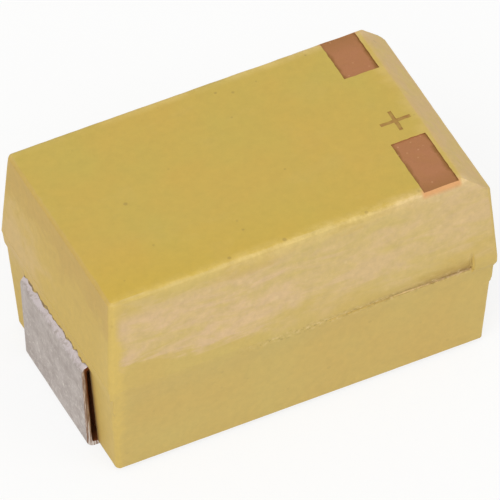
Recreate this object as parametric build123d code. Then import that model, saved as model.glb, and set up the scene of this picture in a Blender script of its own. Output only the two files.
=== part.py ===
from build123d import *
import math
import os

# Moulded tantalum chip capacitor, case size 7343-43.
# Frame: origin on the seating plane under the middle of the case, +X to the anode (positive) end, +Z up.
# All sizes are in millimetres and degrees.

# Outline over the terminals
overall_length = 7.40
case_width = 4.30  # at the parting line, where the case is widest
overall_height = 4.10  # seating plane to top face

# Moulded case: two drafted halves that meet at the parting line
case_setback = 0.08  # each terminal's face stands this far proud of the case's end
standoff = 0.10  # seating plane to the case's underside
parting_height = 2.15  # seating plane to the parting line
upper_end_draft = 3.1
upper_side_draft = 4.6
lower_draft = 3.9
side_ledge = 0.05  # step in at the parting line along both long sides
lip_height = 0.20  # band across each end, from the parting line down to the terminal
lip_taper = 0.025  # the band leans in this much
lip_ledge = 0.035  # then the end wall steps in by this much
corner_radius = 0.06  # four upright corners
top_edge_radius = 0.05
base_edge_radius = 0.02
bevel_run = 0.44  # polarity bevel across the anode end's top edge, along X
bevel_drop = 0.43

# Pad under the middle of the case that takes the spot of mounting adhesive
glue_pad_length = 3.50
glue_pad_width = 3.50
glue_pad_depth = 0.05

# Laser marks on the top face: two bars by the bevel and a plus between them
mark_depth = 0.02
bar_width = 0.67  # along X
bar_to_bevel = 0.10
front_bar_length = 1.28  # from the -Y edge of the top face
back_bar_length = 0.98  # from the +Y edge
plus_length = 0.56  # along X
plus_breadth = 0.48  # along Y
plus_stroke = 0.07
plus_offset = -0.24  # the plus's middle, along Y

# Terminals: tinned strip, led out under the lip, folded down the end wall and under the case
lead_width = 2.40
lead_thickness = 0.10
bend_radius = 0.055  # inside radius of the two folds outside the case
foot_length = 1.30  # along X from the terminal's face
leg_lean = 2.3  # the leg leans in towards its foot
relief_depth = 0.05  # shallow recess in the lower end wall behind each leg
relief_side_gap = 0.08

# Sintered anode block and its riser wire
pellet_length = 4.40
pellet_width = 3.00
pellet_height = 2.50
pellet_corner = 0.25
pellet_setback = 1.07  # case's cathode end, at the parting line, to the block's back face
wire_diameter = 0.40
wire_embed = 3.00  # length pressed into the block
wire_end_cover = 0.56  # resin between the wire's tip and the case's anode end
weld_flat = 0.03  # depth of the flat where the wire is welded down

# Coats on the block; carbon and silver leave the wire face bare
manganese_thickness = 0.05
carbon_thickness = 0.03
carbon_margin = 0.15  # carbon stops this far behind the wire face
silver_thickness = 0.04
silver_margin = 0.12  # silver stops this far behind the carbon's edge
washer_diameter = 1.10
washer_thickness = 0.12

# Leads inside the case
adhesive_length = 2.80
adhesive_width = 2.00
adhesive_thickness = 0.03
adhesive_start = 0.25  # from the silver's back face
paddle_length = 3.20  # under the block, from the silver's back face
joggle_clearance = 0.15  # from the silver's back face to the foot of the joggle
joggle_run = 0.22
joggle_radius = 0.06  # inside radius of both joggle bends
tongue_width = 1.20
tongue_gap = 0.20  # washer to the tongue's tip
tongue_shoulder = 0.30  # case's anode end to where the strip narrows to the tongue

# Levels and half sizes that follow from the sizes above
case_half_length = overall_length / 2 - case_setback
lead_top = parting_height - lip_height  # the strip lies against the lip's underside
wire_radius = wire_diameter / 2
wire_level = lead_top + wire_radius - weld_flat
bend_outside = bend_radius + lead_thickness
upper_height = overall_height - parting_height
top_half_length = case_half_length - upper_height * math.tan(math.radians(upper_end_draft))
top_half_width = case_width / 2 - upper_height * math.tan(math.radians(upper_side_draft))
bevel_edge = top_half_length - bevel_run
lower_slope = math.tan(math.radians(lower_draft))
pellet_back = -case_half_length + pellet_setback
pellet_front = pellet_back + pellet_length
coat_thickness = manganese_thickness + carbon_thickness + silver_thickness
silver_back = pellet_back - coat_thickness
silver_underside = wire_level - pellet_height / 2 - coat_thickness
paddle_top = silver_underside - adhesive_thickness
washer_back = pellet_front + manganese_thickness
tongue_tip = washer_back + washer_thickness + tongue_gap
wire_tip = case_half_length - wire_end_cover


def frustum(low_level, low_half, high_level, high_half):
    # A drafted block between two levels, from its half length and half width at each.
    sections = [Plane.XY.offset(level) * RectangleRounded(2 * half[0], 2 * half[1], corner_radius)
                for level, half in ((low_level, low_half), (high_level, high_half))]
    return loft(sections, ruled=True)


def between(x, y, z):
    size = [high - low for low, high in (x, y, z)]
    middle = [(low + high) / 2 for low, high in (x, y, z)]
    return Pos(*middle) * Box(*size)


def lower_wall(level):
    # Half length and half width of the lower half's walls at a level, lip and ledge apart.
    half_length = case_half_length - lip_taper - lip_ledge + (level - lead_top) * lower_slope
    half_width = case_width / 2 - side_ledge + (level - parting_height) * lower_slope
    return half_length, half_width


def bevel_cutter():
    # All that lies beyond the bevel's slope, which is carried on past both of the bevel's own edges.
    steps_up, steps_down = 1, 3
    above = (bevel_edge - steps_up * bevel_run, overall_height + steps_up * bevel_drop)
    below = (bevel_edge + steps_down * bevel_run, overall_height - steps_down * bevel_drop)
    section = Plane.XZ * Polygon(above, below, (below[0], above[1]), align=None)
    return extrude(section, case_width, both=True)


def upper_half():
    block = frustum(parting_height, (case_half_length, case_width / 2),
                    overall_height, (top_half_length, top_half_width))
    block -= bevel_cutter()
    top = block.faces().sort_by(Axis.Z)[-1]
    return fillet(top.edges(), top_edge_radius)


def lower_half():
    wall = frustum(standoff, lower_wall(standoff), parting_height, lower_wall(parting_height))
    base = wall.faces().sort_by(Axis.Z)[0]
    wall = fillet(base.edges(), base_edge_radius)
    lip_low = (case_half_length - lip_taper, lower_wall(lead_top)[1])
    lip_high = (case_half_length, lower_wall(parting_height)[1])
    lip = frustum(lead_top, lip_low, parting_height, lip_high)
    pad = Pos(0, 0, standoff) * Box(glue_pad_length, glue_pad_width, 2 * glue_pad_depth)
    lower = wall + lip + pad
    for end in (-1, 1):
        lower -= leg_relief(end)
    return lower


def leg_relief(end):
    levels = (lead_top, standoff - glue_pad_depth)
    back = [(end * (lower_wall(level)[0] - relief_depth), level) for level in levels]
    front = [(end * overall_length, level) for level in reversed(levels)]
    section = Plane.XZ * Polygon(*back, *front, align=None)
    return extrude(section, lead_width / 2 + relief_side_gap, both=True)


def marks():
    level = (overall_height - mark_depth, overall_height + mark_depth)
    bar = (bevel_edge - bar_to_bevel - bar_width, bevel_edge - bar_to_bevel)
    front = between(bar, (-case_width, -top_half_width + front_bar_length), level)
    back = between(bar, (top_half_width - back_bar_length, case_width), level)
    middle = sum(bar) / 2
    along = Pos(middle, plus_offset, overall_height) * Box(plus_length, plus_stroke, 2 * mark_depth)
    across = Pos(middle, plus_offset, overall_height) * Box(plus_stroke, plus_breadth, 2 * mark_depth)
    return [front, back, along + across]


def strip(inner_points, inner_radii):
    # The outer face of the folded strip, from the foot's tip up the leg and into the case, at the +X end.
    lean = math.radians(leg_lean)
    top_corner = overall_length / 2 + bend_outside * (math.tan(math.pi / 4 + lean / 2) - 1)
    low_corner = top_corner - lead_top * math.tan(lean)
    points = [(overall_length / 2 - foot_length, 0), (low_corner, 0), (top_corner, lead_top)]
    radii = [bend_outside, bend_outside] + inner_radii
    outer_face = Plane.XZ * FilletPolyline(*points, *inner_points, radius=radii)
    foot_end = Plane(origin=outer_face @ 0, x_dir=(0, 1, 0), z_dir=(1, 0, 0))
    section = foot_end * Pos(0, lead_thickness / 2) * Rectangle(lead_width, lead_thickness)
    return sweep(section, path=outer_face)


def cathode_terminal():
    joggle_foot = joggle_clearance - silver_back
    inner = [(joggle_foot + joggle_run, lead_top), (joggle_foot, paddle_top),
             (-silver_back - paddle_length, paddle_top)]
    return mirror(strip(inner, [joggle_radius + lead_thickness, joggle_radius]), about=Plane.YZ)


def anode_terminal():
    folded = strip([(tongue_tip, lead_top)], [])
    shoulder = case_half_length - tongue_shoulder
    for side in (-1, 1):
        flank = sorted((side * tongue_width / 2, side * lead_width))
        folded -= between((0, shoulder), flank, (standoff, parting_height))
    return folded


def block_form(growth, back, front):
    section = Plane(origin=(back, 0, wire_level), x_dir=(0, 1, 0), z_dir=(1, 0, 0)) * RectangleRounded(
        pellet_width + 2 * growth, pellet_height + 2 * growth, pellet_corner + growth)
    return extrude(section, front - back)


def rod(radius, back, front):
    return extrude(Plane(origin=(back, 0, wire_level), z_dir=(1, 0, 0)) * Circle(radius), front - back)


def anode_wire():
    wire = rod(wire_radius, pellet_front - wire_embed, wire_tip)
    return wire - between((tongue_tip, wire_tip), (-wire_radius, wire_radius), (0, lead_top))


def block_and_coats():
    hole = rod(wire_radius, pellet_front - wire_embed, wire_tip)
    forms = {"tantalum_anode": block_form(0, pellet_back, pellet_front)}
    growth = manganese_thickness
    forms["manganese_dioxide_layer"] = block_form(growth, pellet_back - growth, pellet_front + growth)
    growth += carbon_thickness
    carbon_edge = pellet_front - carbon_margin
    forms["carbon_layer"] = block_form(growth, pellet_back - growth, carbon_edge)
    growth += silver_thickness
    forms["silver_layer"] = block_form(growth, silver_back, carbon_edge - silver_margin)
    names = list(forms)
    coats = {names[0]: forms[names[0]] - hole}
    for under, name in zip(names, names[1:]):
        coats[name] = forms[name] - forms[under] - hole
    return coats


def capacitor():
    pieces = {"cathode_terminal": cathode_terminal(), "anode_terminal": anode_terminal()}
    pieces["anode_wire"] = anode_wire()
    pieces.update(block_and_coats())
    washer_front = washer_back + washer_thickness
    pieces["wire_washer"] = (rod(washer_diameter / 2, washer_back, washer_front)
                             - rod(wire_radius, washer_back, washer_front))
    adhesive_back = silver_back + adhesive_start
    pieces["silver_adhesive"] = between((adhesive_back, adhesive_back + adhesive_length),
                                        (-adhesive_width / 2, adhesive_width / 2),
                                        (paddle_top, silver_underside))
    case = upper_half() + lower_half()
    for cut in marks() + list(pieces.values()):
        case -= cut
    pieces["case"] = case
    return pieces


os.makedirs("parts", exist_ok=True)
for name, solid in capacitor().items():
    export_step(solid, f"parts/{name}.step")
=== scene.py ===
import bmesh
import bpy
import functools
import math
from mathutils import Matrix, Vector, noise


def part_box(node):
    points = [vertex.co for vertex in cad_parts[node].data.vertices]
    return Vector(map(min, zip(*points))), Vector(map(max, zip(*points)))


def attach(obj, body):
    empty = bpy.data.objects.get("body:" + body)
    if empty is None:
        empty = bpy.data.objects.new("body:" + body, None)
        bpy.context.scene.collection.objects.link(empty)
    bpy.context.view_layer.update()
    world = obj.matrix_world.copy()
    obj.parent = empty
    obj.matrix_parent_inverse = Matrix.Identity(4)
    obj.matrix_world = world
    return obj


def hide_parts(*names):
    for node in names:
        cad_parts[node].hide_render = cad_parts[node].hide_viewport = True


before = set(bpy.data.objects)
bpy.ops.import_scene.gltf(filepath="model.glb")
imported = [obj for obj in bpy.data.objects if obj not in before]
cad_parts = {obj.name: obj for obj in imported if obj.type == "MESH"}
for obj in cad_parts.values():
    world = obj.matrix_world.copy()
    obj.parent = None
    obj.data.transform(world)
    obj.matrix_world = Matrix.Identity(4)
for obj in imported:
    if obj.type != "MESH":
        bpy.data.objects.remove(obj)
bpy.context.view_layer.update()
mm = 0.001  # pieces are modelled in millimetres and brought to metres at the end
scene = bpy.context.scene
scene.view_settings.view_transform = "Standard"
print("frame:", len(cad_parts), "nodes")


def toLinear(hexColour):
    # sRGB hex to the linear red, green, blue and alpha that a shader takes
    parts = [int(hexColour[i:i + 2], 16) / 255 for i in (1, 3, 5)]
    return [p / 12.92 if p <= 0.04045 else ((p + 0.055) / 1.055) ** 2.4 for p in parts] + [1]


# for the nodes used most: their main setting, the inputs that a list fills, the output that comes back
nodeHabits = {
    "Math": ("operation", (0, 1, 2), 0), "VectorMath": ("operation", (0, 1, 2), 0),
    "MapRange": ("interpolation_type", (0, 1, 2, 3, 4), 0), "Mix": ("data_type", (0, 6, 7), 2),
    "TexNoise": ("noise_dimensions", ("Vector", "Scale", "Detail", "Roughness", "Distortion"), 0),
}


def addNode(tree, kind, inputs=(), mode=None, out=None, **settings):
    # one node with its settings and links: an input is given a value or the socket that feeds it.
    # Gives back one output, or all of them where out is "all"
    made = tree.nodes.new("ShaderNode" + kind)
    modeName, order, usual = nodeHabits.get(kind, (None, (0, 1, 2), 0))
    if mode:
        settings[modeName] = mode
    for name, value in settings.items():
        setattr(made, name, value)
    for name, value in inputs.items() if isinstance(inputs, dict) else zip(order, inputs):
        if isinstance(value, bpy.types.NodeSocket):
            tree.links.new(value, made.inputs[name])
        else:
            made.inputs[name].default_value = value
    if out == "all" or not made.outputs:
        return made.outputs
    return made.outputs[usual if out is None else out]


def startNodes(owner):
    # clears the owner's node tree and gives the function that adds nodes to it
    owner.use_nodes = True
    owner.node_tree.nodes.clear()
    return functools.partial(addNode, owner.node_tree)


def nodeBox(name):
    # a CAD node's lowest and highest corner, in millimetres
    low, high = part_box(name)
    return low / mm, high / mm


def newVerts(geometry):
    return [g for g in geometry if isinstance(g, bmesh.types.BMVert)]


def smoothStep(low, high, value):
    share = min(1, max(0, (value - low) / (high - low)))
    return share * share * (3 - 2 * share)


def asObject(name, bm, materials=()):
    # a piece still in millimetres
    mesh = bpy.data.meshes.new(name)
    bm.to_mesh(mesh)
    bm.free()
    for material in materials:
        mesh.materials.append(material)
    piece = bpy.data.objects.new(name, mesh)
    scene.collection.objects.link(piece)
    return piece


def carve(piece, cutters, keep=()):
    # takes each cutter out of the piece, then removes the cutters that aren't pieces themselves
    for cutter in cutters:
        cut = piece.modifiers.new(cutter.name, "BOOLEAN")
        cut.operation, cut.solver, cut.object = "DIFFERENCE", "MANIFOLD", cutter
    graph = bpy.context.evaluated_depsgraph_get()
    carved = bpy.data.meshes.new_from_object(piece.evaluated_get(graph), depsgraph=graph)
    piece.modifiers.clear()
    plain, piece.data = piece.data, carved
    bpy.data.meshes.remove(plain)
    for cutter in cutters:
        if cutter not in keep:
            bpy.data.objects.remove(cutter)


meshFinish = {
    "sharpAngle": 32,  # degrees; flatter edges are shaded smooth
    "weld": 3e-5,  # mm; joins corners that the cuts left all but touching
}


def finishPiece(piece, slot, *nodes):
    # clean faces, smooth shading with crisp edges kept, metres, and the piece's place in the frame
    bm = bmesh.new()
    bm.from_mesh(piece.data)
    bmesh.ops.remove_doubles(bm, verts=bm.verts, dist=meshFinish["weld"])
    bmesh.ops.triangulate(bm, faces=[f for f in bm.faces if len(f.verts) > 4])
    for face in bm.faces:
        face.smooth = True
    for edge in bm.edges:
        edge.smooth = edge.calc_face_angle(0) < math.radians(meshFinish["sharpAngle"])
    bmesh.ops.scale(bm, vec=(mm, mm, mm), verts=bm.verts)
    bm.to_mesh(piece.data)
    bm.free()
    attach(piece, "root")
    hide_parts(*nodes)


cameraView = {
    "azimuth": -25.5, "elevation": 45.75, "roll": -0.81,  # degrees
    "distance": 0.2, "lens": 856.5, "target": (0.000017, 0, 0.001977), "nearest": 0.01,
}


def direction(azimuth, elevation):
    # from the middle towards a place round the object, the azimuth counted from -Y
    a, e = math.radians(azimuth), math.radians(elevation)
    return Vector((math.sin(a) * math.cos(e), -math.cos(a) * math.cos(e), math.sin(e)))


def setCamera(values):
    back = direction(values["azimuth"], values["elevation"])
    right = Vector((0, 0, 1)).cross(back).normalized()
    roll = Matrix.Rotation(math.radians(values["roll"]), 3, "Z")
    turn = Matrix((right, back.cross(right), back)).transposed() @ roll
    camera = bpy.data.objects.new("camera", bpy.data.cameras.new("camera"))
    camera.data.lens = values["lens"]
    camera.data.clip_start = values["nearest"]
    place = Vector(values["target"]) + back * values["distance"]
    camera.matrix_world = Matrix.Translation(place) @ turn.to_4x4()
    scene.collection.objects.link(camera)
    scene.camera = camera


studio = {
    "sky": 0.62,  # light from all round
    "floorSize": 1.6, "floorShift": 0.2,  # shifted, so that its diagonal doesn't run under the case
    "floorColour": "#F4F4F2", "floorGlow": 0.8,
    # azimuth, elevation and how bright a white card facing the lamp gets
    "lamps": {"key": (-48, 52, 0.42), "fill": (35, 40, 0.16)},
    "lampWidth": 0.35, "lampDistance": 0.5,
}


def addLamp(name, azimuth, elevation, level):
    lamp = bpy.data.objects.new(name, bpy.data.lights.new(name, "AREA"))
    lamp.data.shape = "DISK"
    lamp.data.size = studio["lampWidth"]
    lamp.data.energy = level * math.pi ** 2 * studio["lampDistance"] ** 2
    lamp.visible_camera = False
    lamp.location = studio["lampDistance"] * direction(azimuth, elevation)
    lamp.rotation_euler = lamp.location.to_track_quat("Z", "Y").to_euler()
    scene.collection.objects.link(lamp)


def seenAsBackground(path, add):
    # 1 where the camera, a reflection or a view through something looks this way
    seen = add("Math", [path["Is Camera Ray"], path["Is Glossy Ray"]], "MAXIMUM")
    return add("Math", [seen, path["Is Transmission Ray"]], "MAXIMUM")


def addStudio():
    scene.world = bpy.data.worlds.new("studio")
    add = startNodes(scene.world)
    seen = seenAsBackground(add("LightPath", out="all"), add)
    level = add("MapRange", [seen, 0, 1, studio["sky"], 1])
    add("OutputWorld", {"Surface": add("Background", {"Color": (1, 1, 1, 1), "Strength": level})})
    for name, values in studio["lamps"].items():
        addLamp(name, *values)

    material = bpy.data.materials.new("whiteTable")
    add = startNodes(material)
    path = add("LightPath", out="all")
    share = add("Math", [seenAsBackground(path, add), studio["floorGlow"]], "MULTIPLY")
    paint = add("BsdfDiffuse", {"Color": toLinear(studio["floorColour"])})
    glow = add("Emission", {"Color": (1, 1, 1, 1), "Strength": 1})
    both = add("MixShader", [share, paint, glow])
    # seen from below, the table lets the underside show
    below = add("Math", [add("NewGeometry", out="Backfacing"), path["Is Camera Ray"]], "MULTIPLY")
    surface = add("MixShader", [below, both, add("BsdfTransparent")])
    add("OutputMaterial", {"Surface": surface})
    bm = bmesh.new()
    bmesh.ops.create_grid(bm, x_segments=1, y_segments=1, size=studio["floorSize"] / 2)
    bmesh.ops.translate(bm, vec=(studio["floorShift"], 0, 0), verts=bm.verts)
    asObject("table", bm, [material])


setCamera(cameraView)
addStudio()
print("camera and studio ready")


def startMaterial(name, tints):
    # a new material, the function that adds its nodes, its colours as linear ones, and the place on the
    # piece in millimetres, so that a pattern's scale is in patches per millimetre
    material = bpy.data.materials.new(name)
    add = startNodes(material)
    place = add("VectorMath", {0: add("TexCoord", out="Object"), "Scale": 1 / mm}, "SCALE")
    return material, add, {tint: toLinear(value) for tint, value in tints.items()}, place


def layTints(add, colour, layers, colours):
    # each tint laid over the colour, as far as its share goes
    for share, tint in layers:
        colour = add("Mix", [share, colour, colours.get(tint, tint)], "RGBA")
    return colour


def paintSurface(add, looks, height=None, strength=0, depth=0):
    # the surface itself, with relief where there is a height; the depth is in millimetres
    if height is not None:
        looks["Normal"] = add("Bump", {"Height": height, "Strength": strength, "Distance": depth * mm})
    add("OutputMaterial", {"Surface": add("BsdfPrincipled", looks)})


# painted light among these tints: shade, crease and the two by the legs' slot and under the lip are
# painted shade; corner, and bevelTop where it lies on the top by the bevel, are painted highlight; the
# two pale edge tints are wear with a painted highlight
epoxyColours = {
    "wall": "#C5AC5E", "wallWarm": "#C6A85A", "end": "#CAAA50", "corner": "#D0B25C",
    "dusty": "#C8AE68", "dustyPink": "#D2B284", "smear": "#D2B27C",
    "top": "#BFA648", "topWarm": "#C5A446", "topDeep": "#C6A536",
    "bevel": "#CEAC70", "bevelTop": "#CDB060", "wearAndSheen": "#E2C67A", "wearAndSheenPale": "#EACB9A",
    "shade": "#B78F48", "crease": "#946E14", "stain": "#A67C3A", "seam": "#6E5638",
    "burnt": "#D49A60", "pit": "#8A6E34", "speck": "#DCC28E",
}
epoxyPatterns = {
    # patches per mm, detail, roughness, distortion: slow clouds of tone, long streaks, short speckle,
    # crumbs of dirt, the wear and painted sheen of the edges, and filler grains of 0.03 mm, drawn at 0.07
    # mm to show
    "cloud": (0.55, 3, 0.55), "streak": (1.7, 6, 0.68, 0.5), "speckle": (7, 3, 0.7),
    "crumbs": (13, 3, 0.6), "wear": (2.4, 5, 0.75), "grain": (14, 4, 0.65),
}
epoxyLooks = {
    "roughness": 0.6, "ior": 1.55, "relief": 0.6, "reliefDepth": 0.008,
    "streakTilt": -6, "streakStretch": (0.5, 1, 1.7),  # degrees; along, across and up
    "drift": 0.16,  # how far the streaks push the edge of a tint, in mm
    "pitCells": 4,  # per mm; a few of the cells hold a pit or a speck
    "smearAt": (0, -1.2, -2.9), "smearSize": (0, 0.7, 1.2),
    "nickAt": (3.12, 0, 2.22), "nickSize": (16, 0, 6),
}
# masks that fade along the case: from one X to another, and the shares at the two
epoxyAlong = {
    "pinkness": (-1, 1, 1, 0.7), "dustLine": (-3.5, 0.6, 2.75, 2.12), "dustFade": (-1.8, 0.6, 0.16, 0.85),
    "anodeSide": (1, 2.8), "deepTop": (1.5, -3.2, 0.3), "beforeNick": (3.17, 3.11), "grime": (1, 2.7),
    "crumbs": (-1.4, -0.4), "wearAndSheenAlong": (-3, 0.5, 0.35, 0.95), "paler": (1.2, 2.6),
}
# soft masks whose edges the streaks push about: how far, from, to, and the shares at the two
epoxySoft = {
    "underEdge": (1.2, 4.1, 3.7), "offCorner": (0.3, -3.44, -3.24), "nearBevel": (0.6, 2.8, 3.12, 0, 0.8),
    "upward": (0.5, 0.68, 0.98), "band": (1.5, 3, 3.8, 0, 0.38), "smear": (2, 1.4, 0.1, 0, 0.6),
    "edge": (0.4, 0.15, 0.5),
}


def mouldedEpoxy(bar):
    # golden mineral-filled moulding resin: satin from the mould, with a fine grain and cloudy tone,
    # streaks of dust on the upper walls, edges worn pale, painted highlights and shade, and scorched
    # where a bar runs over the edge
    material, add, colours, place = startMaterial("mouldedGoldenEpoxy", epoxyColours)
    looks = epoxyLooks
    spot = add("SeparateXYZ", [place], out="all")
    facing = add("SeparateXYZ", [add("TexCoord", out="Normal")], out="all")
    farOut, offMiddle = [add("Math", [spot[axis]], "ABSOLUTE") for axis in "XY"]
    endways, sideways = [add("Math", [facing[axis]], "ABSOLUTE") for axis in "XY"]
    tilt = (0, math.radians(looks["streakTilt"]), 0)
    along = add("Mapping", {"Vector": place, "Rotation": tilt, "Scale": looks["streakStretch"]})
    cloud, streak, speckle, crumbs, wear, grain = [
        add("TexNoise", [along if name == "streak" else place, *values])
        for name, values in epoxyPatterns.items()]
    cloud = add("MapRange", [cloud, 0.35, 0.65])
    streak = add("MapRange", [streak, 0.38, 0.6])
    drift = add("MapRange", [streak, 0, 1, -looks["drift"], looks["drift"]])
    alongCase = {name: add("MapRange", [spot["X"], *ramp]) for name, ramp in epoxyAlong.items()}
    smear = {"Vector": place, "Location": looks["smearAt"], "Scale": looks["smearSize"]}
    follows = {
        "underEdge": spot["Z"], "offCorner": spot["X"], "nearBevel": spot["X"], "upward": facing["Z"],
        "band": spot["Z"], "smear": add("VectorMath", [add("Mapping", smear)], "LENGTH", out="Value"),
        "edge": add("Math", [facing["Z"], sideways], "MULTIPLY"),
    }
    soft = {}
    for name, (push, *ramp) in epoxySoft.items():
        pushed = add("Math", [drift, push, follows[name]], "MULTIPLY_ADD")
        soft[name] = add("MapRange", [pushed, *ramp], "SMOOTHSTEP")

    # walls, and the dust that lies on the long walls above a wandering line, clear of the corners
    wall = add("Mix", [cloud, colours["wall"], colours["wallWarm"]], "RGBA")
    onEnd = add("MapRange", [endways, 0.5, 0.9], "SMOOTHSTEP")
    pink = add("Math", [streak, alongCase["pinkness"]], "MULTIPLY")
    dusty = add("Mix", [pink, colours["dusty"], colours["dustyPink"]], "RGBA")
    aboveDust = add("Math", [add("Math", [spot["Z"], alongCase["dustLine"]], "SUBTRACT"), drift], "ADD")
    dustShare = add("MapRange", [aboveDust, -0.1, alongCase["dustFade"]], "SMOOTHSTEP")
    onSide = add("MapRange", [sideways, 0.6, 0.93], "SMOOTHSTEP")
    underEdge = add("Math", [soft["underEdge"], alongCase["anodeSide"]], "MAXIMUM")
    for factor in (onSide, underEdge, soft["offCorner"]):
        dustShare = add("Math", [dustShare, factor], "MULTIPLY")
    # painted highlight: gold on the side walls by the upright corners, clear of the dust, and on the end
    # wall by the front corner
    cornerHighlight = add("Math", [onSide, soft["offCorner"]], "SUBTRACT", use_clamp=True)
    endCornerHighlight = add("Math", [add("MapRange", [spot["Y"], -1.55, -1.95, 0, 0.6]), onEnd], "MULTIPLY")
    layers = [(onEnd, "end"), (cornerHighlight, "corner"), (dustShare, dusty), (endCornerHighlight, "corner")]

    # top and bevel, which run softly into each other; the top pales towards the bevel as a painted
    # highlight along its rounded edge
    top = add("Mix", [cloud, colours["top"], colours["topWarm"]], "RGBA")
    nearEdge = add("MapRange", [spot["Y"], -0.7, -1.9, 0, 0.8])
    nearEdge = add("Math", [nearEdge, alongCase["deepTop"]], "MULTIPLY")
    top = layTints(add, top, [(nearEdge, "topDeep"), (soft["nearBevel"], "bevelTop")], colours)
    bevel = add("Mix", [streak, colours["bevelTop"], colours["bevel"]], "RGBA")
    onBevel = add("MapRange", [facing["X"], 0.1, 0.6], "SMOOTHSTEP")
    onBevel = add("Math", [onBevel, facing["Z"]], "MULTIPLY", use_clamp=True)
    onBevel = add("MapRange", [onBevel, 0.05, 0.5])
    underBevel = add("MapRange", [spot["Z"], 3.05, 3.68, 0, 0.75], "SMOOTHSTEP")
    underBevel = add("Math", [underBevel, add("MapRange", [facing["X"], 0.5, 0.9])], "MULTIPLY")
    onBevel = add("Math", [onBevel, underBevel], "MAXIMUM")
    layers += [(soft["upward"], top), (onBevel, bevel)]

    # on the cathode end: a shaded band under the top edge, and a pale dusty patch towards the back
    toCathode = add("MapRange", [facing["X"], -0.3, -0.9])
    for name, tint in (("band", "shade"), ("smear", "smear")):
        layers.append((add("Math", [soft[name], toCathode], "MULTIPLY"), tint))

    # painted shade above the parting line's crease, crumbs scattered along it, and the nick at its end
    level = caseShape["partingLevel"] - partingSide["grooveDrop"]
    toFront = add("MapRange", [spot["Y"], -1.9, -1.95])
    above = add("Math", [drift, 0.4, spot["Z"]], "MULTIPLY_ADD")
    above = add("Math", [add("MapRange", [above, level + 0.33, level]), 1.4], "POWER")
    onCrease = add("MapRange", [spot["Z"], level - 0.045, level - 0.02])
    grime = toFront
    for factor in (above, onCrease, alongCase["grime"], alongCase["beforeNick"]):
        grime = add("Math", [grime, factor], "MULTIPLY")
    offLine = add("Math", [add("Math", [spot["Z"], level + 0.02], "SUBTRACT")], "ABSOLUTE")
    scattered = add("MapRange", [offLine, 0.13, 0.02, 0, 0.6])
    for factor in (toFront, alongCase["crumbs"], alongCase["beforeNick"]):
        scattered = add("Math", [scattered, factor], "MULTIPLY")
    layers.append((grime, "crease"))
    for low, high, tint in ((0.46, 0.34, "pit"), (0.54, 0.64, "speck")):
        crumb = add("MapRange", [crumbs, low, high])
        layers.append((add("Math", [crumb, scattered], "MULTIPLY"), tint))
    nick = [-at * size for at, size in zip(looks["nickAt"], looks["nickSize"])]
    nick = add("Mapping", {"Vector": place, "Location": nick, "Scale": looks["nickSize"]})
    nick = add("VectorMath", [nick], "LENGTH", out="Value")
    nick = add("Math", [add("MapRange", [nick, 1.3, 0.2, 0, 0.45]), toFront], "MULTIPLY")
    layers.append((nick, "pit"))

    # painted shade: a brown band beside the leg, and a broken dark line where the resin's lip meets the
    # strip's fold
    onLegs = add("MapRange", [farOut, 3.3, 3.4])
    stain = add("MapRange", [offMiddle, 1.42, 1.24, 0, 0.6])
    for factor in (add("MapRange", [spot["Z"], 2, 1.85]), onLegs):
        stain = add("Math", [stain, factor], "MULTIPLY")
    lipShadeTop = add("MapRange", [speckle, 0.35, 0.65, 1.96, 2.02])
    seam = add("Math", [spot["Z"], lipShadeTop], "LESS_THAN")
    for factor in (add("MapRange", [offMiddle, 1.3, 1.2]), onLegs, 0.85):
        seam = add("Math", [seam, factor], "MULTIPLY")
    layers += [(stain, "stain"), (seam, "seam")]

    # worn pale and painted with a highlight along the long top edges, more so towards the anode, and a
    # painted gold highlight down the upright corners
    nearTop = add("MapRange", [spot["Z"], 3.75, 4.05], "SMOOTHSTEP")
    nearWall = add("MapRange", [offMiddle, 1.76, 1.95, 0, 0.6], "SMOOTHSTEP")
    edge = add("Math", [soft["edge"], add("Math", [nearTop, nearWall], "MULTIPLY")], "MAXIMUM")
    for factor in (add("MapRange", [wear, 0.38, 0.62, 0.1]), alongCase["wearAndSheenAlong"]):
        edge = add("Math", [edge, factor], "MULTIPLY")
    wearAndSheen = add("Mix", [alongCase["paler"], colours["wearAndSheen"], colours["wearAndSheenPale"]], "RGBA")
    corner = add("Math", [endways, sideways], "MULTIPLY")
    corner = add("MapRange", [corner, 0.05, 0.4, 0, 0.7], "SMOOTHSTEP")
    layers += [(edge, wearAndSheen), (corner, "corner")]

    # scorched where the bars reach the rounded edge
    middle, reach = sum(bar) / 2, (bar[1] - bar[0]) / 2
    beside = add("Math", [add("Math", [spot["X"], middle], "SUBTRACT")], "ABSOLUTE")
    rim = add("MapRange", [spot["Z"], 3.95, 4.05])
    beside = add("MapRange", [beside, reach + 0.06, reach])
    for factor in (beside, add("MapRange", [offMiddle, 1.88, 1.94])):
        rim = add("Math", [rim, factor], "MULTIPLY")
    layers.append((rim, "burnt"))
    colour = layTints(add, wall, layers, colours)

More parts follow.
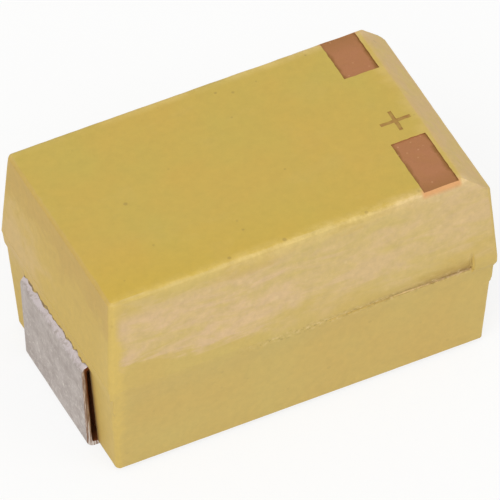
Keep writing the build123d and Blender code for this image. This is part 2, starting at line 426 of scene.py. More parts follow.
    # tone of the filler, stronger on the walls, then a few small pits and pale specks
    strength = add("MapRange", [soft["upward"], 0, 1, 0.22, 0.17])
    strength = add("Math", [dustShare, 0.14, strength], "MULTIPLY_ADD")
    tone = add("Math", [add("Math", [speckle, 0.5], "SUBTRACT"), strength, 1], "MULTIPLY_ADD")
    colour = add("HueSaturation", {"Value": tone, "Color": colour})
    cell = add("TexVoronoi", {"Vector": place, "Scale": looks["pitCells"]}, out="all")
    chosen = add("SeparateColor", [cell["Color"]])
    dots, fainter = [], add("MapRange", [soft["upward"], 0, 1, 0.3, 0.8])
    for size, fade, share in (((0.72, 1, 0, 0.18), (-0.02, 0.06, 0, 0.5), fainter),
                              ((0.7, 0, 0, 0.2), (-0.05, 0.12, 0, 0.45), dustShare)):
        dot = add("MapRange", [chosen, *size])
        dot = add("MapRange", [add("Math", [dot, cell["Distance"]], "SUBTRACT"), *fade])
        dots.append(add("Math", [dot, share], "MULTIPLY"))
    colour = layTints(add, colour, zip(dots, ("pit", "speck")), colours)
    paintSurface(add, {"Base Color": colour, "Roughness": looks["roughness"], "IOR": looks["ior"]},
                 add("Math", [grain, dots[0]], "SUBTRACT"), looks["relief"], looks["reliefDepth"])
    return material


markColours = {
    "bar": "#A87042", "barWarm": "#AA7046", "barEdge": "#8E5E26", "speck": "#C89468",
    "plus": "#9A6C32", "grime": "#A05A28",
}


def laserMarkedEpoxy(bar):
    # resin burnt brown by the marking laser: dull, slightly mottled, with specks of bare filler
    material, add, colours, place = startMaterial("laserMarkedEpoxy", markColours)
    mottle = add("TexNoise", [place, 5, 4, 0.6])
    mottle = add("MapRange", [mottle, 0.35, 0.65])
    colour = add("Mix", [mottle, colours["bar"], colours["barWarm"]], "RGBA")
    # darker along the bar's ragged rim and towards the case's edge
    spot = add("SeparateXYZ", [place], out="all")
    outer = add("MapRange", [add("Math", [spot["Y"]], "ABSOLUTE"), 1.6, 2, 0, 0.6])
    middle, reach = sum(bar) / 2, (bar[1] - bar[0]) / 2
    beside = add("Math", [add("Math", [spot["X"], middle], "SUBTRACT")], "ABSOLUTE")
    beside = add("Math", [mottle, 0.06, beside], "MULTIPLY_ADD")
    rim = add("MapRange", [beside, reach - 0.04, reach + 0.02])
    rim = add("Math", [rim, outer], "MAXIMUM")
    speck = add("TexVoronoi", {"Vector": place, "Scale": 6}, out="Distance")
    speck = add("MapRange", [speck, 0.14, 0.06, 0, 0.5])
    colour = layTints(add, colour, [(rim, "barEdge"), (speck, "speck")], colours)
    looks = {"Base Color": colour, "Roughness": 0.75, "IOR": epoxyLooks["ior"]}
    paintSurface(add, looks, mottle, 0.8, 0.01)
    return material


# the resin's other marks, painted shade in the pocket and faint laser strokes: two colours, a pattern and
# how it is spread, roughness, and relief in mm
shadeAndStrokeEpoxies = {
    # resin in the pocket behind a leg, painted dark brown as the shade that falls there
    "pocketShadeEpoxy": (("grime", "pit"), (4, 4), (0.45, 0.8, 0, 0.3), 0.85, 0),
    # resin only lightly scorched by the laser's thin strokes
    "faintlyMarkedEpoxy": (("plus", "top"), (9, 3), (0.35, 0.7, 0, 0.5), 0.7, 0.008),
}


def shadeAndStrokeEpoxy(name):
    material, add, colours, place = startMaterial(name, {**epoxyColours, **markColours})
    tints, pattern, spread, roughness, depth = shadeAndStrokeEpoxies[name]
    dirt = add("TexNoise", [place, *pattern])
    colour = add("Mix", [add("MapRange", [dirt, *spread]), *[colours[tint] for tint in tints]], "RGBA")
    looks = {"Base Color": colour, "Roughness": roughness, "IOR": epoxyLooks["ior"]}
    paintSurface(add, looks, dirt if depth else None, 0.7, depth)
    return material


tinColours = {
    "tin": "#BCB1AA", "tinDark": "#A79B94", "grain": "#D3CBC2", "fold": "#CFC4C4", "grime": "#7A4420",
    "cut": "#B8A192", "cutBrown": "#8E705C", "core": "#DDD4CC",
}


def matteTin():
    # matte tin electroplate: pale grey metal with a cloudy, crystalline bloom, fine pale scratches, a
    # fold under the case's lip worn and painted bright as a highlight, and painted shade in the gap
    # behind the leg
    material, add, colours, place = startMaterial("matteTinPlate", tinColours)
    spot = add("SeparateXYZ", [place], out="all")
    facing = add("SeparateXYZ", [add("TexCoord", out="Normal")], out="all")
    cloud = add("TexNoise", [place, 3.2, 6, 0.7])
    # tin crystals of about 0.005 mm, drawn at 0.09 mm to show
    grain = add("TexNoise", [place, 11, 4, 0.7, 0.8])
    bright = add("MapRange", [grain, 0.52, 0.68])
    bright = add("Math", [bright, add("MapRange", [spot["Z"], 1.7, 0.8, 0.35, 0.9])], "MULTIPLY")
    dark = add("MapRange", [grain, 0.44, 0.3, 0, 0.6])
    # painted highlight: a pale band round the upper fold, partly wear
    band = add("MapRange", [grain, 0.35, 0.65, -0.1, 0.08])
    band = add("MapRange", [add("Math", [spot["Z"], band], "ADD"), 1.78, 1.9, 0, 0.85])
    # painted shade in the gap: faces that look at the case, and the top of the foot, dark brown and less
    # metallic
    inward = add("Math", [facing["X"], add("Math", [spot["X"]], "SIGN")], "MULTIPLY")
    inward = add("MapRange", [inward, -0.2, -0.5])
    low = add("MapRange", [spot["Z"], 0.4, 0.3])
    upward = add("Math", [add("MapRange", [facing["Z"], 0.2, 0.5]), low], "MULTIPLY")
    hidden = add("Math", [inward, upward], "MAXIMUM")
    layers = [(add("MapRange", [cloud, 0.35, 0.62]), "tin"), (bright, "grain"), (dark, "tinDark"),
              (band, "fold"), (hidden, "grime")]
    colour = layTints(add, colours["tinDark"], layers, colours)
    shine = add("Math", [hidden, -0.8, 0.9], "MULTIPLY_ADD")
    rough = add("MapRange", [cloud, 0.3, 0.7, 0.55, 0.4])
    paintSurface(add, {"Base Color": colour, "Metallic": shine, "Roughness": rough}, grain, 0.5, 0.01)
    return material


def shearedEdge():
    # the strip's sheared edge: pinkish copper alloy between two thin smeared lines of tin, scored along
    # the cut
    material, add, colours, place = startMaterial("shearedCopperAlloy", tinColours)
    scored = add("Mapping", {"Vector": place, "Scale": (30, 1, 2.5)})
    line = add("TexNoise", [scored, 1.3, 4, 0.6])
    # a painted glint: the bright metal's share grows towards the foot
    spot = add("SeparateXYZ", [place], out="all")
    glint = add("Math", [line, add("MapRange", [spot["Z"], 0.9, 0.2, 0, 0.14])], "ADD")
    glint = add("MapRange", [glint, 0.56, 0.66, 0, 0.8])
    # painted shade on the side that looks at the case, above the foot; the leg leans in as it goes down
    inner = add("Math", [spot["Z"], -0.065, add("Math", [spot["X"]], "ABSOLUTE")], "MULTIPLY_ADD")
    inner = add("MapRange", [inner, 3.54, 3.51])
    inner = add("Math", [inner, add("MapRange", [spot["Z"], 0.1, 0.2])], "MULTIPLY")
    layers = [(add("MapRange", [line, 0.4, 0.6]), "cut"), (glint, "core"), (inner, "grime")]
    colour = layTints(add, colours["cutBrown"], layers, colours)
    paintSurface(add, {"Base Color": colour, "Metallic": 0.9, "Roughness": 0.45}, line, 0.6, 0.01)
    return material


# what each hidden part is made of: colours, metallic, roughness, the pattern's scale in patches per
# millimetre with its stretch along, across and up, and the relief in millimetres
innerFinishes = {
    # sintered powder: dull dark grey metal, porous; grains of 0.01 mm drawn at 0.04 mm to show
    "tantalum_anode": ("sinteredTantalum", ("#5F5B5A", "#8B8785"), 1, (0.6, 0.8), 25, (1, 1, 1), 0.012),
    # blue-grey metal with fine lines along its length
    "anode_wire": ("drawnTantalumWire", ("#85858C", "#A6A5AC"), 1, (0.25, 0.4), 30, (0.05, 1, 1), 0.003),
    # waxy, slightly cloudy white
    "wire_washer": ("skivedFluoroplastic", ("#DEDDD8", "#EFEEEA"), 0, (0.35, 0.5), 6, (3, 1, 1), 0.002),
    # a black, matt, crusty deposit
    "manganese_dioxide_layer": ("pyrolyticManganeseDioxide", ("#1C1918", "#35302D"), 0, (0.75, 0.95),
                                16, (1, 1, 1), 0.015),
    # dark grey with a soft pencil sheen and run marks
    "carbon_layer": ("dippedGraphite", ("#2B2C2E", "#444649"), 0.3, (0.4, 0.6), 8, (0.3, 1, 1), 0.005),
    # pale satin metal flake with thicker and thinner places
    "silver_layer": ("dippedSilverPaint", ("#ABA9A4", "#D2D0CB"), 0.9, (0.35, 0.55),
                     12, (0.6, 1, 1), 0.006),
    # squeezed out and cured: duller and lumpier than the paint
    "silver_adhesive": ("silverFilledEpoxy", ("#98958E", "#BDBAB3"), 0.6, (0.45, 0.65),
                        9, (1, 1, 1), 0.012),
}


def innerMaterial(name, tints, metallic, roughness, scale, stretch, depth):
    material, add, colours, place = startMaterial(name, dict(enumerate(tints)))
    place = add("Mapping", {"Vector": place, "Scale": stretch})
    grain = add("TexNoise", [place, scale, 4, 0.6, 0.3])
    cloud = add("TexNoise", [place, scale / 8, 3])
    share = add("MapRange", [add("Math", [grain, cloud], "ADD"), 0.75, 1.25])
    colour = add("Mix", [share, colours[0], colours[1]], "RGBA")
    rough = add("MapRange", [cloud, 0.3, 0.7, *reversed(roughness)])
    paintSurface(add, {"Base Color": colour, "Metallic": metallic, "Roughness": rough}, grain, 0.7, depth)
    return material


# the moulded case: two drafted halves of mineral-filled epoxy
caseShape = {
    "partingLevel": 2.15, "standoff": 0.1,
    "lipTaper": 0.025, "lipLedge": 0.035, "sideLedge": 0.05, "ledgeRise": 0.006,
    "upperEndDraft": 3.1, "upperSideDraft": 4.6, "lowerDraft": 3.9,  # degrees
    "bevelRun": 0.44, "bevelDrop": 0.43, "gluePad": 1.75,
    # radius and segments of each rounding
    "corner": (0.085, 5), "top": (0.1, 4), "slope": (0.15, 3), "base": (0.02, 3), "ridge": (0.014, 2),
    "gridStep": 0.06, "legStep": 0.03, "lipStep": 0.02, "fineStep": 0.015,
    "warp": (0.006, 2), "grain": (0.002, 0.15), "edgeWear": (0.014, 0.3),  # height and patch size
    "reliefGap": 0.005, "slotDepth": 0.1, "slotTop": 0.02, "footGap": 0.002,
    "flashFrom": 3.58, "flashDrop": 0.05, "flashOut": 0.05,
}
near = 1e-4  # mm; closer than this counts as the same place
cutReach = 1e-5  # mm; a cut takes in a corner that is closer than this

# the parting line on the -Y side: flush at the cathode end, then a crease, a nick and a lower step
partingSide = {
    "creaseFrom": (-0.5, 1.5), "nick": 3.125, "nickWidth": 0.02, "nickTop": 2.45, "nickDepth": 0.03,
    "turnIn": 0.03, "turnHeight": 0.15, "grooveDrop": 0.1, "grooveDepth": 0.045, "grooveHeight": 0.014,
    "wander": 0.012, "lowerProud": 0.02, "cornerStep": 2, "soft": 0.03,
    "fineBelow": 0.15, "fineAbove": 0.18, "nickReach": 0.08,
    "from": 1.5, "to": 2.6, "flushFrom": 1.55, "proudFrom": 1.7,  # levels
}

markShape = {
    "depth": 0.02, "barWidth": 0.65, "barToBevel": 0.12, "frontBar": 1.28, "backBar": 0.98,
    "plusLength": 0.56, "plusBreadth": 0.48, "plusStroke": 0.07, "plusOffset": -0.24,
    "plusDepth": 0.005, "crossDepth": 0.009, "raggedness": 0.009, "ragSize": 0.09, "step": 0.03,
    "over": 0.1,  # how far the blocks that cut the marks stand clear of the case
}
hollowShape = {
    "blockCorner": 0.25, "cornerSegments": 6, "rodSides": 32, "overlap": 0.1, "padOverlap": 0.04,
}


def caseSections(values):
    # level, half length and half width of the case from its underside to its top
    halfLength, halfWidth, top = nodeBox("case")[1]
    lead, parting, rise = nodeBox("cathode_terminal")[1].z, values["partingLevel"], values["ledgeRise"]
    endSlope, sideSlope, lowerSlope = [
        math.tan(math.radians(values[k])) for k in ("upperEndDraft", "upperSideDraft", "lowerDraft")]
    wallLength = halfLength - values["lipTaper"] - values["lipLedge"]
    wallWidth = halfWidth - values["sideLedge"]
    base = values["standoff"]
    lengths = {base: wallLength - (lead - base) * lowerSlope, lead: wallLength,
               lead + rise: halfLength - values["lipTaper"], parting - rise: halfLength}
    lower = [(z, length, wallWidth - (parting - z) * lowerSlope) for z, length in lengths.items()]
    high = top - parting
    return lower + [(parting, halfLength, halfWidth),
                    (top, halfLength - high * endSlope, halfWidth - high * sideSlope)]


def roundEdges(bm, edges, radius, segments):
    bmesh.ops.bevel(bm, geom=edges, offset=radius, offset_type="OFFSET", segments=segments, profile=0.5,
                    affect="EDGES", material=-1, clamp_overlap=True)


def atLevel(edge, level):
    return all(abs(v.co.z - level) < near for v in edge.verts)


def sliceAcross(bm, axis, places, wanted=None):
    # cuts the skin, or only the faces whose middle is wanted, by planes square to an axis
    for place in places:
        if wanted is None:
            geometry = bm.verts[:] + bm.edges[:] + bm.faces[:]
        else:
            faces = [f for f in bm.faces if wanted(f.calc_center_median())]
            geometry = list(dict.fromkeys(g for f in faces for g in (*f.edges, *f.verts))) + faces
        point, normal = Vector((0, 0, 0)), Vector((0, 0, 0))
        point[axis], normal[axis] = place, 1
        bmesh.ops.bisect_plane(bm, geom=geometry, plane_co=point, plane_no=normal, dist=cutReach)


def steps(low, high, size):
    count = max(1, round((high - low) / size))
    return [low + (high - low) * i / count for i in range(1, count)]


def growForm(bm, sections):
    # a closed form through (level, half length, half width), from a flat outline of half size 1
    first = sections[0]
    bmesh.ops.scale(bm, vec=(first[1], first[2], 1), verts=bm.verts)
    bmesh.ops.translate(bm, vec=(0, 0, first[0]), verts=bm.verts)
    for below, above in zip(sections, sections[1:]):
        cap = max(bm.faces, key=lambda f: f.calc_center_median().z)
        raised = newVerts(bmesh.ops.extrude_face_region(bm, geom=[cap])["geom"])
        bmesh.ops.scale(bm, vec=(above[1] / below[1], above[2] / below[2], 1), verts=raised)
        bmesh.ops.translate(bm, vec=(0, 0, above[0] - below[0]), verts=raised)
        if below is not first:
            bm.faces.remove(cap)
    bmesh.ops.recalc_face_normals(bm, faces=bm.faces)


def shapeShell(sections, values):
    base, parting, top = sections[0][0], values["partingLevel"], sections[-1][0]
    bm = bmesh.new()
    bmesh.ops.create_grid(bm, x_segments=1, y_segments=1, size=1)
    growForm(bm, sections)
    roundEdges(bm, [e for e in bm.edges if not atLevel(e, e.verts[0].co.z)], *values["corner"])
    # polarity bevel across the anode end's top edge
    run, drop = values["bevelRun"], values["bevelDrop"]
    cut = bmesh.ops.bisect_plane(bm, geom=bm.verts[:] + bm.edges[:] + bm.faces[:], clear_outer=True,
                                 plane_co=(sections[-1][1] - run, 0, top), plane_no=(drop, 0, run),
                                 dist=cutReach)
    rim = [g for g in cut["geom_cut"] if isinstance(g, bmesh.types.BMEdge)]
    bmesh.ops.contextual_create(bm, geom=rim)
    roundEdges(bm, [e for e in bm.edges if atLevel(e, top)], *values["top"])
    bm.normal_update()
    slope = max(bm.faces, key=lambda f: f.calc_area() if abs(f.normal.x - f.normal.z) < 0.3 else 0)
    roundEdges(bm, [e for e in slope.edges if e.calc_face_angle(0) > 0.5], *values["slope"])
    roundEdges(bm, [e for e in bm.edges if atLevel(e, base)], *values["base"])
    ridge = [e for e in bm.edges if atLevel(e, parting) and e.calc_face_angle(0) > 0.7]
    roundEdges(bm, ridge, *values["ridge"])
    # pad under the middle for the spot of mounting adhesive
    pad = values["gluePad"]
    for axis in (0, 1):
        sliceAcross(bm, axis, (-pad, pad), lambda middle: middle.z < base + near)
    middle = min(bm.faces, key=lambda f: f.calc_center_median().length)
    lowered = newVerts(bmesh.ops.extrude_face_region(bm, geom=[middle])["geom"])
    bm.faces.remove(middle)
    bmesh.ops.translate(bm, vec=(0, 0, nodeBox("case")[0].z - base), verts=lowered)
    return bm


def gridShell(bm, sections, values):
    # an even grid all over, and finer cuts where the skin has small forms: the parting line's crease and
    # nick, the walls beside the legs and the lip over them
    ridge, parting, lead = sections[4], values["partingLevel"], sections[1][0]
    fine, legStep, side, nick = values["fineStep"], values["legStep"], partingSide, partingSide["nick"]
    for axis, reach in ((0, ridge[1]), (1, ridge[2])):
        sliceAcross(bm, axis, steps(-reach, reach, values["gridStep"]))
    sliceAcross(bm, 2, steps(sections[0][0], sections[-1][0], values["gridStep"]))
    sliceAcross(bm, 2, steps(parting - side["fineBelow"], parting + side["fineAbove"], fine),
                lambda m: m.y < -2 and m.x > -1 and abs(m.z - parting) < 0.25)
    sliceAcross(bm, 0, steps(nick - side["nickReach"], nick + side["nickReach"], fine),
                lambda m: m.y < -2 and abs(m.x - nick) < 0.1 and parting - 0.2 < m.z < parting + 0.4)
    leg = nodeBox("anode_terminal")[1].y
    for way in (-1, 1):
        sliceAcross(bm, 1, steps(way * leg, way * (leg + 0.3), legStep),
                    lambda m: abs(m.x) > 3.3 and m.z < lead + 0.01 and abs(way * m.y - leg - 0.15) < 0.2)
    upCuts, acrossCuts = steps(lead + 0.01, parting, values["lipStep"]), steps(-leg, leg, legStep)
    for axis, places in ((2, upCuts), (1, acrossCuts)):
        sliceAcross(bm, axis, places, lambda m: abs(m.x) > 3.55 and lead < m.z < parting)
    print("case grid faces", len(bm.faces))


def sideDepth(x, z, values):
    # how far the -Y wall lies in from the parting line's full width
    parting, side = values["partingLevel"], partingSide
    level, soft, ledge = parting - side["grooveDrop"], side["soft"], values["sideLedge"]
    upper = max(0, z - parting) * math.tan(math.radians(values["upperSideDraft"]))
    lower = ledge + max(0, parting - z) * math.tan(math.radians(values["lowerDraft"]))
    flush = upper if z >= parting else lower - ledge * smoothStep(side["flushFrom"], parting - soft, z)
    if z >= level:
        crease = upper + side["turnIn"] * (1 - smoothStep(0, side["turnHeight"], z - level))
    else:
        crease = lower - side["lowerProud"] * smoothStep(side["proudFrom"], level - soft, z)
    stepLevel = side["cornerStep"]
    corner = upper + (lower - upper) * (1 - smoothStep(stepLevel - 0.12, stepLevel + 0.015, z))
    wander = side["wander"] * noise.noise(Vector((x * 1.7, 0, 3)))
    groove = side["grooveDepth"] * math.exp(-((z - level - wander) / side["grooveHeight"]) ** 2)
    toCrease = smoothStep(*side["creaseFrom"], x)
    toCorner = smoothStep(side["nick"] - soft / 2, side["nick"] + soft / 2, x)
    broken = smoothStep(0.3, 0.7, toCrease + 0.5 * noise.noise(Vector((x * 5, 1, 0))))
    deeper = 0.4 + 0.6 * smoothStep(1, 2.8, x)
    depth = flush + (crease - flush) * toCrease + groove * broken * deeper
    depth += (corner - depth) * toCorner
    notch = math.exp(-((x - side["nick"]) / side["nickWidth"]) ** 2) * side["nickDepth"]
    notch *= 1 - smoothStep(side["nickTop"] - 0.2, side["nickTop"], z)
    return depth + notch * smoothStep(level - soft, level + soft, z)


def cornerInset(x, z, halfLength, values):
    # how far an upright corner's rounding has turned in from the wall at x
    radius = values["corner"][0]
    halfLength -= max(0, z - values["partingLevel"]) * math.tan(math.radians(values["upperEndDraft"]))
    past = min(radius, max(0, abs(x) - halfLength + radius))
    return radius - math.sqrt(radius ** 2 - past ** 2)


def formDetails(bm, sections, values):
    # the parting line's crease, and thin flash over the strip's fold
    halfLength, halfWidth = sections[4][1:]
    lead, parting = sections[1][0], values["partingLevel"]
    leg = nodeBox("anode_terminal")[1].y
    for v in bm.verts:
        x, y, z = v.co
        if y < -2 and partingSide["from"] < z < partingSide["to"]:
            v.co.y = sideDepth(x, z, values) + cornerInset(x, z, halfLength, values) - halfWidth
        if abs(x) > values["flashFrom"] and lead + values["ledgeRise"] / 2 < z < parting:
            low = 1 - smoothStep(lead, parting - 0.05, z)
            over = 1 - smoothStep(leg - 0.02, leg + 0.04, abs(y))
            hang = low * over * max(0, 0.4 + 0.2 * y / leg + 0.8 * noise.noise(Vector((3 * x, 9 * y, 2))))
            v.co.x += math.copysign(values["flashOut"] * hang, x)
            v.co.z -= values["flashDrop"] * hang


def roughenShell(bm, values):
    # slow warp, a fine grain from the mould, and edges worn a little unevenly
    bm.normal_update()
    moves = {}
    for v in bm.verts:
        warp, grain, worn = [noise.noise(v.co / values[k][1]) for k in ("warp", "grain", "edgeWear")]
        edge = smoothStep(0.02, 0.2, 1 - max(abs(c) for c in v.normal))
        wear = values["edgeWear"][0] * edge * (0.4 + 0.6 * worn)
        moves[v] = v.normal * (values["warp"][0] * warp + values["grain"][0] * grain - max(0, wear))
    # clear of the feet, which would else shave slivers off the underside
    foot = nodeBox("anode_terminal")[1]
    tip, base = foot.x - stripShape["footLength"] - values["gridStep"], values["standoff"]
    for v, move in moves.items():
        v.co += move
        if abs(v.co.x) > tip and abs(v.co.y) < foot.y + values["gridStep"] and v.co.z < base + 0.01:
            v.co.z = max(v.co.z, base + values["footGap"])


def barPlace(values, sections):
    # where the two bars lie along X
    bevelEdge = sections[-1][1] - caseShape["bevelRun"]
    return bevelEdge - values["barToBevel"] - values["barWidth"], bevelEdge - values["barToBevel"]


def asCutter(name, bm, slot, materials):
    # a closed block that is taken out of the case, and the material that it leaves on the cut
    bmesh.ops.recalc_face_normals(bm, faces=bm.faces)
    for face in bm.faces:
        face.material_index = slot
    return asObject(name, bm, materials)


def raggedBlock(values, alongX, alongY, low, high):
    # a mark's recess as a block, its outline a little uneven
    bm = bmesh.new()
    size = [span[1] - span[0] for span in (alongX, alongY)]
    middle = [sum(span) / 2 for span in (alongX, alongY)]
    counts = [max(1, round(s / values["step"])) for s in size]
    bmesh.ops.create_grid(bm, x_segments=counts[0], y_segments=counts[1], size=0.5)
    bmesh.ops.scale(bm, vec=(*size, 1), verts=bm.verts)
    bmesh.ops.translate(bm, vec=(*middle, low), verts=bm.verts)
    for v in bm.verts:
        drift = noise.noise_vector(v.co / values["ragSize"])
        v.co += Vector((drift.x, drift.y, 0.2 * drift.z)) * values["raggedness"]
    for v in newVerts(bmesh.ops.extrude_face_region(bm, geom=bm.faces[:])["geom"]):
        v.co.z = high
    return bm


def markCutters(values, sections, materials):
    # the recesses of the bars and the plus: reach along X and along Y, level and material slot
    top, _, edge = sections[-1]
    barLevel, plusLevel, crossLevel = [top - values[k] for k in ("depth", "plusDepth", "crossDepth")]
    bar, over = barPlace(values, sections), values["over"]
    middle, offset, stroke = sum(bar) / 2, values["plusOffset"], values["plusStroke"] / 2
    along, across = values["plusLength"] / 2, values["plusBreadth"] / 2
    marks = {
        "frontBar": (bar, (-edge - over, -edge + values["frontBar"]), barLevel, 1),
        "backBar": (bar, (edge - values["backBar"], edge + over), barLevel, 1),
        "plusAlong": ((middle - along, middle + along), (offset - stroke, offset + stroke), plusLevel, 3),
        "plusAcross": ((middle - stroke, middle + stroke), (offset - across, offset + across),
                       crossLevel, 3),
    }
    return [asCutter(name, raggedBlock(values, *place, level, top + over), slot, materials)
            for name, (*place, level, slot) in marks.items()]


def reliefCutter(end, sections, values, materials):
    # the sharp inner part of the recess behind a leg
    base, lead = sections[0], sections[1]
    half = nodeBox("anode_terminal")[1].y + values["reliefGap"]
    bm = bmesh.new()
    bmesh.ops.create_cube(bm, size=1)
    low, high = base[0] - 0.1, lead[0] - values["slotTop"]
    bmesh.ops.scale(bm, vec=(1, 2 * half, high - low), verts=bm.verts)
    bmesh.ops.translate(bm, vec=(0, 0, (low + high) / 2), verts=bm.verts)
    for v in bm.verts:
        wall = lead[1] if v.co.z > 1 else base[1]
        v.co.x = end * (wall - values["slotDepth"] if v.co.x < 0 else lead[1] + 1)
    # its cut walls take the pocket's epoxy, painted dark as shade
    return asCutter("relief", bm, 2, materials)


def lieAlong(name, bm, sections):
    # a closed form along X through (place, half height, half width), at the coated block's level
    growForm(bm, sections)
    bmesh.ops.rotate(bm, matrix=Matrix.Rotation(math.radians(90), 3, "Y"), verts=bm.verts)
    low, high = nodeBox("silver_layer")
    bmesh.ops.translate(bm, vec=(0, 0, (low.z + high.z) / 2), verts=bm.verts)
    return asObject(name, bm)


def hollowCutters(values):
    # the space that the coated block, its washer, the wire and the silver adhesive take inside the case
    coats = [nodeBox(n) for n in ("silver_layer", "carbon_layer", "manganese_dioxide_layer")]
    sections, start = [], coats[0][0].x
    for low, high in coats:
        half = ((high.z - low.z) / 2, high.y)
        sections += [(start, *half), (high.x, *half)]
        start = high.x
    bm = bmesh.new()
    bmesh.ops.create_grid(bm, x_segments=1, y_segments=1, size=1)
    bmesh.ops.bevel(bm, geom=bm.verts[:], offset=values["blockCorner"], offset_type="OFFSET",
                    segments=values["cornerSegments"], profile=0.5, affect="VERTICES", material=-1)
    block = lieAlong("block", bm, sections)
    washer, wire = nodeBox("wire_washer"), nodeBox("anode_wire")
    bm = bmesh.new()
    bmesh.ops.create_circle(bm, cap_ends=True, radius=1, segments=values["rodSides"])
    large, small = (washer[1].y,) * 2, (wire[1].y,) * 2
    rod = lieAlong("rod", bm, [(washer[0].x - values["overlap"], *large), (washer[1].x, *large),
                               (washer[1].x, *small), (wire[1].x, *small)])
    low, high = nodeBox("silver_adhesive")
    size = high - low
    bm = bmesh.new()
    bmesh.ops.create_cube(bm, size=1)
    bmesh.ops.scale(bm, vec=(size.x, size.y, size.z + values["padOverlap"]), verts=bm.verts)
    bmesh.ops.translate(bm, vec=(low + high) / 2, verts=bm.verts)
    return [block, rod, asObject("adhesive", bm)]


# the terminals: tinned strip, folded down the end walls and under the case
stripShape = {
    "thickness": 0.1, "foldRadius": 0.055, "footLength": 1.3,  # the radius is the fold's inner one
    "lean": 2.3,  # degrees
    "joggleClearance": 0.15, "joggleRun": 0.22, "joggleRadius": 0.06,
    "tongueWidth": 1.2, "shoulder": 3.32,  # where the anode's strip narrows, along X
    "columns": 40, "rowStep": 0.05, "foldSteps": 8, "edgeRound": 0.012, "edgeSegments": 2,
    "dent": 0.004, "foldWave": 0.006, "roughFrom": 3.55,  # the dents and waves fade in from here on
}


def drawRun(bm, row, start, end, step):
    # carries the row of edges along a straight run
    count = max(1, round((end - start).length / step))
    for _ in range(count):
        made = newVerts(bmesh.ops.extrude_edge_only(bm, edges=row)["geom"])
        bmesh.ops.translate(bm, vec=(end - start) / count, verts=made)
        row = list(dict.fromkeys(e for v in made for e in v.link_edges if e.other_vert(v) in made))
    return row


def drawFold(bm, row, centre, turn, steps):
    # spins the row round a fold; a positive turn is to the left of the heading
    geometry = list(dict.fromkeys(v for e in row for v in e.verts)) + row
    axis = (0, -1, 0) if turn > 0 else (0, 1, 0)
    last = bmesh.ops.spin(bm, geom=geometry, cent=centre, axis=axis, angle=abs(turn), steps=steps,
                          use_merge=False, use_duplicate=False)["geom_last"]
    return [g for g in last if isinstance(g, bmesh.types.BMEdge)]


def drawStrip(points, radii, values, shoulder=None):
    # the strip's outer face along its path in the XZ plane, from the foot's tip into the case
    low, high = nodeBox("anode_terminal")
    bm = bmesh.new()
    ends = [bm.verts.new((points[0][0], y, points[0][1])) for y in (low.y, high.y)]
    bmesh.ops.subdivide_edges(bm, edges=[bm.edges.new(ends)], cuts=values["columns"] - 1)
    row = bm.edges[:]
    corners = [Vector((x, 0, z)) for x, z in points]
    place = corners[0]
    for corner, after, radius in zip(corners[1:], corners[2:], radii):
        heading, onward = (corner - place).normalized(), (after - corner).normalized()
        turn = math.copysign(heading.angle(onward), heading.cross(onward).dot(Vector((0, -1, 0))))
        reach = radius * math.tan(abs(turn) / 2)
        left = Vector((-heading.z, 0, heading.x))
        arcStart = corner - heading * reach
        row = drawRun(bm, row, place, arcStart, values["rowStep"])
        centre = arcStart + left * math.copysign(radius, turn)
        row = drawFold(bm, row, centre, turn, values["foldSteps"])
        place = corner + onward * reach
    if shoulder is not None:
        step = Vector((shoulder, 0, corners[-1].z))
        row = drawRun(bm, row, place, step, values["rowStep"])
        half = values["tongueWidth"] / 2 + near
        row = [e for e in row if all(abs(v.co.y) < half for v in e.verts)]
        place = step
    drawRun(bm, row, place, corners[-1], values["rowStep"])
    return bm


def thickenStrip(bm, values):
    bmesh.ops.recalc_face_normals(bm, faces=bm.faces)
    foot = min(bm.faces, key=lambda f: f.calc_center_median().z)
    inward = 1 if foot.normal.z < 0 else -1
    bmesh.ops.solidify(bm, geom=bm.faces[:], thickness=inward * values["thickness"])
    bmesh.ops.recalc_face_normals(bm, faces=bm.faces)
    rims = [e for e in bm.edges if e.calc_face_angle(0) > 1.2]
    roundEdges(bm, rims, values["edgeRound"], values["edgeSegments"])


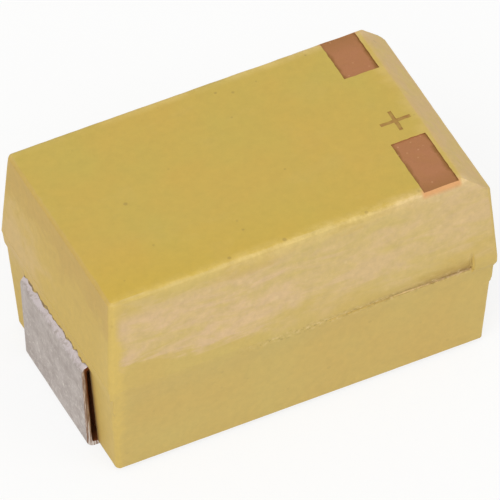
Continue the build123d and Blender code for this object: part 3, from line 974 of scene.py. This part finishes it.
def makeTerminals(values, plating, cutMetal):
    outer = values["foldRadius"] + values["thickness"]
    low, high = nodeBox("anode_terminal")
    lean = math.radians(values["lean"])
    topCorner = high.x + outer * (math.tan(math.pi / 4 + lean / 2) - 1)
    lowCorner = topCorner - high.z * math.tan(lean)
    outside = [(high.x - values["footLength"], 0), (lowCorner, 0), (topCorner, high.z)]
    paddleTop = nodeBox("silver_adhesive")[0].z
    joggle = values["joggleClearance"] - nodeBox("silver_layer")[0].x
    paddleEnd = -nodeBox("cathode_terminal")[1].x
    inside = [(joggle + values["joggleRun"], high.z), (joggle, paddleTop), (paddleEnd, paddleTop)]
    joggleRadii = [values["joggleRadius"] + values["thickness"], values["joggleRadius"]]
    paths = {
        "cathode": (outside + inside, [outer, outer, *joggleRadii], None),
        "anode": (outside + [(low.x, high.z)], [outer, outer], values["shoulder"]),
    }
    pieces = {}
    for end, (points, radii, shoulder) in paths.items():
        bm = drawStrip(points, radii, values, shoulder)
        thickenStrip(bm, values)
        if end == "cathode":
            bmesh.ops.scale(bm, vec=(-1, 1, 1), verts=bm.verts)
            bmesh.ops.recalc_face_normals(bm, faces=bm.faces)
        print(end, "strip faces", len(bm.faces), "open edges", sum(not e.is_manifold for e in bm.edges))
        for face in bm.faces:
            if abs(face.normal.y) > 0.9:
                face.material_index = 1
        roughenStrip(bm, values)
        pieces[end] = asObject(end + "Strip", bm, [plating, cutMetal])
    return pieces


def roughenStrip(bm, values):
    # faint dents outside the case, and a wavy fold where the strip comes out under the lip
    bm.normal_update()
    leadTop = nodeBox("anode_terminal")[1].z
    moves = {}
    for v in bm.verts:
        outside = smoothStep(values["roughFrom"], values["roughFrom"] + 0.05, abs(v.co.x))
        fold = smoothStep(leadTop - 0.35, leadTop - 0.1, v.co.z)
        dent = values["dent"] * noise.noise(v.co * Vector((1, 1.2, 1.2)))
        wave = values["foldWave"] * fold * noise.noise(v.co * 5 + Vector((7, 0, 3)))
        moves[v] = v.normal * outside * (dent + wave)
    for v, move in moves.items():
        v.co += move


sections = caseSections(caseShape)
bar = barPlace(markShape, sections)
epoxy = [mouldedEpoxy(bar), laserMarkedEpoxy(bar), *map(shadeAndStrokeEpoxy, shadeAndStrokeEpoxies)]

strips = makeTerminals(stripShape, matteTin(), shearedEdge())
shell = shapeShell(sections, caseShape)
gridShell(shell, sections, caseShape)
formDetails(shell, sections, caseShape)
roughenShell(shell, caseShape)
case = asObject("mouldedCase", shell, epoxy)
cutters = [reliefCutter(end, sections, caseShape, epoxy) for end in (-1, 1)]
cutters += markCutters(markShape, sections, epoxy) + hollowCutters(hollowShape) + list(strips.values())
carve(case, cutters, keep=strips.values())
print("case faces", len(case.data.polygons))
finishPiece(case, "moulded_epoxy", "case")
for end, strip in strips.items():
    finishPiece(strip, "tinned_strip", end + "_terminal")

for name, values in innerFinishes.items():
    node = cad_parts[name]
    node.data.materials.clear()
    node.data.materials.append(innerMaterial(*values))
print("inner parts finished:", len(innerFinishes))
